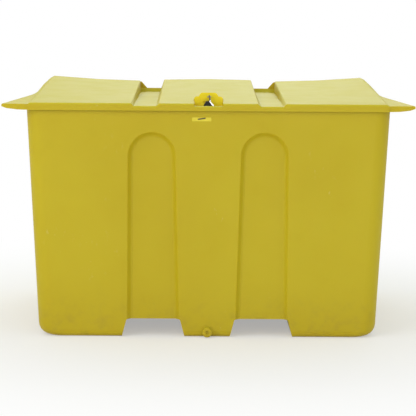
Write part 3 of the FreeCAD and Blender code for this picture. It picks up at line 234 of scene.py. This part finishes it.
class Shader(Graph):
    # A material of the object, laid out in the object's own frame
    def __init__(self, name):
        self.material = bpy.data.materials.new(name)
        super().__init__(self.material)
        self.main = self.node("BsdfPrincipled")
        self.node("OutputMaterial", {"Surface": self.main.outputs["BSDF"]})
        self.coords = self.node("TexCoord").outputs["Object"]

    def stretched(self, x, y, z):
        # Coordinates scaled along each axis
        return self.node("Mapping", {"Vector": self.coords, "Scale": (x, y, z)}).outputs["Vector"]

    def axis(self, name, vector=None):
        return self.node("SeparateXYZ", {0: vector or self.coords}).outputs[name]

    def inside(self, low, high):
        # 1 inside a box of the object's own frame, 0 outside
        share = 1.0
        for name, start, end in zip("XYZ", low, high):
            along = self.axis(name)
            share = self.maths("MULTIPLY", share, self.remap(along, start, start + POCKET_BORDER))
            share = self.maths("MULTIPLY", share, self.remap(along, end, end - POCKET_BORDER))
        return share

    def facing_up(self):
        # 1 on faces that look up in the object's own frame, 0 on upright ones
        upright = self.axis("Z", self.node("TexCoord").outputs["Normal"])
        return self.remap(upright, BLEACH_AND_SHEEN_START, BLEACH_AND_SHEEN_FULL)

    def noise(self, scale, detail=4.0, rough=0.55, vector=None):
        # Cloudy pattern with a scale in features per metre
        inputs = {"Scale": scale, "Detail": detail, "Roughness": rough, "Vector": vector or self.coords}
        return self.node("TexNoise", inputs).outputs["Fac"]

    def cells(self, scale):
        # Distance to the middle of the nearest cell, with a scale in cells per metre
        return self.node("TexVoronoi", {"Scale": scale, "Vector": self.coords}).outputs["Distance"]

    def layer(self, under, over, mask, share=None):
        # The second colour laid over the first where the mask is 1, up to the share
        covered = mask if share is None else self.maths("MULTIPLY", mask, share)
        below = linear(under) if isinstance(under, tuple) else under
        return self.mix(covered, below, linear(over))

    def bump(self, height, strength, distance, under=None):
        inputs = {"Strength": strength, "Distance": distance, "Height": height}
        if under is not None:
            inputs["Normal"] = under
        return self.node("Bump", inputs).outputs["Normal"]

    def finish(self, colour, rough, normal, metallic=0.0, gloss=GLOSS):
        values = {
            "Base Color": colour,
            "Roughness": rough,
            "Normal": normal,
            "Metallic": metallic,
            "IOR": SURFACE_IOR,
            "Specular IOR Level": gloss,
        }
        for name, value in values.items():
            self.feed(self.main.inputs[name], value)
        return self.material


def moulded_plastic():
    # Moulded polythene, sun-faded with a painted sky sheen on upward faces, painted light in the lock
    # pocket, faint scuffs, deeper yellow towards the bottom and mud near the ground
    shader = Shader("yellow_plastic")
    broad = shader.noise(scale=1.3, detail=3.0, rough=0.5)
    cloud = shader.noise(scale=9.0, detail=5.0, rough=0.6)
    colour = shader.layer(YELLOW, YELLOW_PALE, shader.remap(broad, 0.32, 0.70))
    colour = shader.layer(colour, YELLOW_DEEP, shader.remap(cloud, 0.50, 0.78), PATCH_SHARE)
    # Upward faces are paler, partly from real sun fading and partly as a painted sheen of the sky's
    # reflection
    colour = shader.layer(colour, YELLOW_FADED_AND_SHEEN, shader.facing_up(), BLEACH_AND_SHEEN_SHARE)
    # The lock pocket's inside is painted brighter, as painted light in its shade
    colour = shader.layer(colour, YELLOW_PAINTED_LIGHT, shader.inside(POCKET_LOW, POCKET_HIGH), POCKET_LIGHT_SHARE)
    # Deeper yellow towards the bottom, and mud that splashes up from the ground
    low = shader.remap(shader.axis("Z"), SPLASH_TOP, 0.0)
    colour = shader.layer(colour, YELLOW_DEEP, low, LOW_SHARE)
    splash = shader.remap(shader.noise(scale=22.0, detail=6.0, rough=0.65), 0.42, 0.74)
    colour = shader.layer(colour, MUD, shader.maths("MULTIPLY", low, splash), MUD_SHARE)
    # Pale scuffs and dark specks, each in some areas only
    scuff_line = shader.noise(scale=1.0, detail=5.0, rough=0.7, vector=shader.stretched(46.0, 46.0, 30.0))
    scuff_area = shader.remap(shader.noise(scale=3.4, detail=2.0, rough=0.5), 0.58, 0.72)
    scuff = shader.maths("MULTIPLY", shader.remap(scuff_line, 0.60, 0.66), scuff_area)
    colour = shader.layer(colour, CHALK, scuff, SCUFF_SHARE)
    speck_area = shader.remap(shader.noise(scale=7.0, detail=2.0, rough=0.5), 0.57, 0.72)
    specks = shader.maths("MULTIPLY", shader.remap(shader.cells(scale=55.0), 0.08, 0.02), speck_area)
    colour = shader.layer(colour, GRIME, specks, SPECK_SHARE)
    # Wavy skin with fine orange peel and shallow scratches
    rough = shader.remap(cloud, 0.3, 0.7, to_low=0.49, to_high=0.55)
    wavy = shader.bump(shader.noise(scale=4.0, detail=2.0, rough=0.4), strength=0.25, distance=0.0006)
    grain = shader.noise(scale=420.0, detail=2.0, rough=0.5)
    peel = shader.bump(grain, strength=0.12, distance=0.0008, under=wavy)
    scratch = shader.bump(scuff_line, strength=0.05, distance=0.0006, under=peel)
    # Light that passes through the skin
    for name, value in SKIN_GLOW.items():
        shader.feed(shader.main.inputs["Subsurface " + name], value)
    return shader.finish(colour, rough, scratch, gloss=GLOSS_LOW)


def painted_steel():
    # Yellow paint on the lock tongue, painted brighter as painted light in the pocket's shade, chipped at
    # places
    shader = Shader("yellow_paint")
    chips = shader.remap(shader.noise(scale=120.0, detail=5.0, rough=0.7), 0.62, 0.66)
    worn = shader.remap(shader.noise(scale=30.0), 0.35, 0.80, to_high=0.45)
    # Brighter yellow as painted light, with patches of the plain yellow
    colour = shader.layer(YELLOW_PAINTED_LIGHT, YELLOW, worn)
    colour = shader.layer(colour, RUST, chips)
    rough = shader.remap(shader.noise(scale=60.0), 0.3, 0.7, to_low=0.42, to_high=0.55)
    return shader.finish(colour, rough, shader.bump(chips, strength=0.3, distance=0.0005), gloss=GLOSS_LOW)


def zinc_steel():
    # Galvanised steel with spangle and a little rust
    shader = Shader("zinc_steel")
    spangle = shader.cells(scale=95.0)
    colour = shader.layer(ZINC, ZINC_DARK, shader.remap(spangle, 0.1, 0.7))
    rust = shader.remap(shader.noise(scale=70.0, detail=6.0, rough=0.7), 0.60, 0.74)
    colour = shader.layer(colour, RUST, rust, RUST_SHARE)
    rough = shader.remap(spangle, 0.0, 0.7, to_low=0.34, to_high=0.52)
    return shader.finish(colour, rough, shader.bump(spangle, strength=0.1, distance=0.0003), metallic=PLATED)


def bolt_zinc():
    # Bright plated bolts and nuts with a little grime
    shader = Shader("bolt_zinc")
    grime = shader.remap(shader.noise(scale=140.0, detail=5.0, rough=0.6), 0.50, 0.75)
    colour = shader.layer(ZINC_BRIGHT, ZINC_DARK, grime, GRIME_SHARE)
    rough = shader.remap(grime, 0.0, 1.0, to_low=0.28, to_high=0.48)
    return shader.finish(colour, rough, shader.bump(grime, strength=0.05, distance=0.0002), metallic=PLATED)


def bright_steel(shader):
    # Fine wear, and the colour, roughness and bump of bright steel with it
    wear = shader.noise(scale=1.0, detail=4.0, rough=0.6, vector=shader.stretched(300.0, 300.0, 40.0))
    colour = shader.layer(STEEL, STEEL_WORN, wear)
    rough = shader.remap(wear, 0.3, 0.7, to_low=0.10, to_high=0.24)
    return colour, rough, shader.bump(wear, strength=0.05, distance=0.0002)


def polished_steel():
    # Bright steel, with the shackle's bow painted dark as painted shade, and rougher
    shader = Shader("polished_steel")
    colour, rough, fine = bright_steel(shader)
    # The bow above these heights is painted dark, as painted shade
    shaded_bow = shader.remap(shader.axis("Z"), BOW_SHADE_START, BOW_SHADE_FULL)
    colour = shader.layer(colour, STEEL_SHADED, shaded_bow)
    rough = shader.maths("ADD", rough, shader.maths("MULTIPLY", shaded_bow, DULL_ROUGH))
    return shader.finish(colour, rough, fine, metallic=BARE_METAL)


def case_steel():
    # The padlock's bare shoulder, with the black cover's painted edge along it
    shader = Shader("case_steel")
    colour, rough, fine = bright_steel(shader)
    depth = shader.maths("SUBTRACT", EDGE_HEIGHT, shader.axis("Z"))
    beside = shader.maths("SUBTRACT", shader.axis("X"), shader.maths("MULTIPLY", depth, EDGE_SLANT))
    paint = shader.remap(beside, EDGE_BARE, EDGE_PAINTED)
    colour = shader.layer(colour, BLACK, paint)
    rough = shader.maths("ADD", rough, shader.maths("MULTIPLY", paint, PAINT_ROUGH))
    return shader.finish(colour, rough, fine, metallic=shader.maths("SUBTRACT", 1.0, paint))


def black_cover():
    # Black moulded padlock cover with dust
    shader = Shader("black_cover")
    dust = shader.remap(shader.noise(scale=90.0, detail=5.0, rough=0.6), 0.52, 0.75)
    colour = shader.layer(BLACK, DUST, dust, DUST_SHARE)
    rough = shader.remap(dust, 0.0, 1.0, to_low=0.42, to_high=0.66)
    grain = shader.bump(shader.noise(scale=700.0), strength=0.12, distance=0.0003)
    return shader.finish(colour, rough, grain, gloss=GLOSS_LOW)


def lock_brass():
    # Brass of the key cylinder, tarnished in patches
    shader = Shader("lock_brass")
    tarnish = shader.noise(scale=200.0, detail=5.0, rough=0.6)
    colour = shader.layer(BRASS, BRASS_TARNISHED, shader.remap(tarnish, 0.4, 0.7))
    rough = shader.remap(tarnish, 0.3, 0.7, to_low=0.25, to_high=0.45)
    fine = shader.bump(tarnish, strength=0.08, distance=0.0002)
    return shader.finish(colour, rough, fine, metallic=BARE_METAL)


def black_rubber():
    # Matt rubber with a fine grain
    shader = Shader("black_rubber")
    grain = shader.noise(scale=500.0, detail=4.0, rough=0.6)
    colour = shader.layer(RUBBER, RUBBER_WORN, grain)
    rough = shader.remap(grain, 0.3, 0.7, to_low=0.55, to_high=0.75)
    return shader.finish(colour, rough, shader.bump(grain, strength=0.2, distance=0.0003))


def label_foil():
    # Bare label with one dark slanted stroke, no writing
    shader = Shader("label_foil")
    across = shader.axis("X")
    middle = shader.maths("ADD", shader.maths("MULTIPLY", across, STROKE_SLANT), STROKE_RISE)
    off_line = shader.maths("ABSOLUTE", shader.maths("SUBTRACT", shader.axis("Z"), middle), 0.0)
    off_end = shader.maths("ABSOLUTE", across, 0.0)
    stroke = shader.maths("MULTIPLY", shader.remap(off_line, *STROKE_HALF_HEIGHT),
                          shader.remap(off_end, *STROKE_HALF_LENGTH))
    wear = shader.noise(scale=160.0, detail=4.0, rough=0.6)
    colour = shader.layer(LABEL, YELLOW_PALE, shader.remap(wear, 0.4, 0.75, to_high=0.35))
    colour = shader.layer(colour, LABEL_DARK, stroke, STROKE_SHARE)
    rough = shader.remap(wear, 0.3, 0.7, to_low=0.30, to_high=0.50)
    return shader.finish(colour, rough, shader.bump(wear, strength=0.05, distance=0.0003))


MATERIALS = {
    "yellow_plastic": moulded_plastic(),
    "yellow_paint": painted_steel(),
    "zinc_steel": zinc_steel(),
    "bolt_zinc": bolt_zinc(),
    "polished_steel": polished_steel(),
    "case_steel": case_steel(),
    "black_cover": black_cover(),
    "lock_brass": lock_brass(),
    "black_rubber": black_rubber(),
}

# Nodes that look different from the rest of their slot
SPECIAL = {"padlock_case": "case_steel"}
for fastened in ("hinge_tub", "hinge_lid", "tongue"):
    SPECIAL[fastened + "_bolts"] = "bolt_zinc"
    SPECIAL[fastened + "_nuts"] = "bolt_zinc"


def paint_nodes():
    # Every node gets the material of its slot in the record, or its special one
    for part in frame["record"]["subparts"]:
        obj = NODES[part["node"]]
        material = MATERIALS[SPECIAL.get(part["node"], part["material_slot"])]
        if not obj.material_slots:
            obj.data.materials.append(material)
        for slot in obj.material_slots:
            slot.material = material


def add_object(name, data):
    obj = bpy.data.objects.new(name, data)
    bpy.context.collection.objects.link(obj)
    return obj


def label_outline():
    # Rectangle with rounded corners, one after another from the upper right one
    points = []
    for sx, sz, start in ((1, 1, 0), (-1, 1, 90), (-1, -1, 180), (1, -1, 270)):
        for step in range(LABEL_CORNER_POINTS):
            angle = math.radians(start + 90 * step / (LABEL_CORNER_POINTS - 1))
            points.append((sx * (LABEL_HALF_WIDTH - LABEL_CORNER) + LABEL_CORNER * math.cos(angle),
                           sz * (LABEL_HALF_HEIGHT - LABEL_CORNER) + LABEL_CORNER * math.sin(angle)))
    return points


def make_label():
    # Thin label on the tub's front, just under the lip
    outline = label_outline()
    count = len(outline)
    verts = [(x, y, z) for y in (-LABEL_THICK, 0.0) for x, z in outline]
    faces = [tuple(range(count)), tuple(reversed(range(count, 2 * count)))]
    for index in range(count):
        after = (index + 1) % count
        faces.append((after, index, index + count, after + count))
    mesh = bpy.data.meshes.new("label")
    mesh.from_pydata(verts, [], faces)
    mesh.materials.append(label_foil())
    obj = add_object("bare_label", mesh)
    obj.location = LABEL_AT
    obj.rotation_euler = (FRONT_LEAN, 0.0, 0.0)
    bevel = obj.modifiers.new("edge", "BEVEL")
    bevel.width = LABEL_EDGE
    bevel.segments = 2
    bpy.context.view_layer.update()
    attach(obj, "tub")


def cell_mesh(name, cuts, filled):
    # Closed mesh of the filled cells of a grid, with faces only where a filled cell ends
    counts = [len(cut) - 1 for cut in cuts]

    def solid(cell):
        return all(0 <= at < count for at, count in zip(cell, counts)) and filled(*cell)

    def face_corners(cell, axis, side):
        # Grid points around one side of a cell, in order
        one, two = (axis + 1) % 3, (axis + 2) % 3
        for step_one, step_two in ((0, 0), (1, 0), (1, 1), (0, 1)):
            corner = list(cell)
            corner[axis] += side
            corner[one] += step_one
            corner[two] += step_two
            yield tuple(corner)

    verts = {}
    faces = []
    for cell in filter(solid, itertools.product(*(range(count) for count in counts))):
        for axis, side in itertools.product(range(3), (0, 1)):
            beside = list(cell)
            beside[axis] += 2 * side - 1
            if not solid(beside):
                face = [verts.setdefault(corner, len(verts)) for corner in face_corners(cell, axis, side)]
                faces.append(face if side else face[::-1])
    mesh = bpy.data.meshes.new(name)
    mesh.from_pydata([[cut[at] for cut, at in zip(cuts, corner)] for corner in verts], [], faces)
    return mesh


def make_well_pan():
    # Pan under the lock pocket, with the slot that the lock tongue passes
    last_column = len(PAN_X) - 2
    last_row = len(PAN_Y) - 2

    def filled(column, row, layer):
        wall = column in (0, last_column) or row in (0, last_row)
        slot = column == PAN_SLOT_COLUMN and row == PAN_SLOT_ROW
        return wall or (layer == 0 and not slot)

    obj = add_object("pocket_pan", cell_mesh("pocket_pan", (PAN_X, PAN_Y, PAN_Z), filled))
    obj.data.materials.append(MATERIALS["yellow_plastic"])
    bpy.context.view_layer.update()
    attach(obj, "lid")


def make_floor():
    # Pale ground that keeps the shadow near the object and turns plain white far out
    bpy.ops.mesh.primitive_circle_add(vertices=FLOOR_SIDES, radius=FLOOR_RADIUS, fill_type="NGON",
                                      location=(0, 0, 0))
    floor = bpy.context.object
    floor.name = "floor"
    material = bpy.data.materials.new("floor")
    graph = Graph(material)
    plain = graph.node("BsdfDiffuse", {"Color": linear(FLOOR)})
    white = graph.node("Emission")
    coords = graph.node("TexCoord").outputs["Object"]
    away = graph.node("VectorMath", {0: coords}, operation="LENGTH").outputs["Value"]
    fade = graph.remap(away, FADE_START, FADE_END, to_low=FLOOR_GLOW)
    share = graph.maths("MULTIPLY", fade, graph.seen_rays())
    graph.finish_seen("OutputMaterial", share, plain, white)
    floor.data.materials.append(material)


def make_sky():
    # Overcast sky for lighting, plain white where the camera sees it
    world = bpy.data.worlds.new("sky")
    bpy.context.scene.world = world
    graph = Graph(world)
    coords = graph.node("TexCoord").outputs["Generated"]
    height = graph.node("SeparateXYZ", {0: coords}).outputs["Z"]
    tint = graph.mix(graph.remap(height, 0.0, ZENITH_FROM, curve="LINEAR"), HORIZON, ZENITH)
    lit = graph.node("Background", {"Color": tint, "Strength": SKY_STRENGTH})
    white = graph.node("Background", {"Color": WHITE, "Strength": 1.0})
    graph.finish_seen("OutputWorld", graph.seen_rays(), lit, white)


def make_lamps():
    for name, at, aim, width, power, colour in LAMPS:
        data = bpy.data.lights.new(name, "AREA")
        data.shape = "DISK"
        data.size = width
        data.energy = power
        data.color = colour
        light = add_object(name, data)
        light.location = at
        light.rotation_mode = "QUATERNION"
        light.rotation_quaternion = (Vector(aim) - Vector(at)).to_track_quat("-Z", "Y")


def make_camera():
    data = bpy.data.cameras.new("camera")
    data.sensor_width = SENSOR
    data.lens = CAMERA_LENS
    data.clip_start = CLIP_NEAR
    data.clip_end = CLIP_FAR
    camera = add_object("camera", data)
    # Turned about the upright axis, then tipped down, then rolled about the line of sight
    level = Vector((-math.sin(CAMERA_YAW), math.cos(CAMERA_YAW), 0.0))
    right = Vector((math.cos(CAMERA_YAW), math.sin(CAMERA_YAW), 0.0))
    top = Vector((0.0, 0.0, 1.0))
    ahead = level * math.cos(CAMERA_PITCH) - top * math.sin(CAMERA_PITCH)
    upward = level * math.sin(CAMERA_PITCH) + top * math.cos(CAMERA_PITCH)
    axis_x = right * math.cos(CAMERA_ROLL) + upward * math.sin(CAMERA_ROLL)
    axis_y = upward * math.cos(CAMERA_ROLL) - right * math.sin(CAMERA_ROLL)
    turn = Matrix((axis_x, axis_y, -ahead)).transposed()
    camera.matrix_world = Matrix.Translation(CAMERA_AT) @ turn.to_4x4()
    bpy.context.scene.camera = camera


paint_nodes()
make_label()
make_well_pan()
make_floor()
make_sky()
make_lamps()
make_camera()
bpy.context.scene.view_settings.view_transform = "Standard"
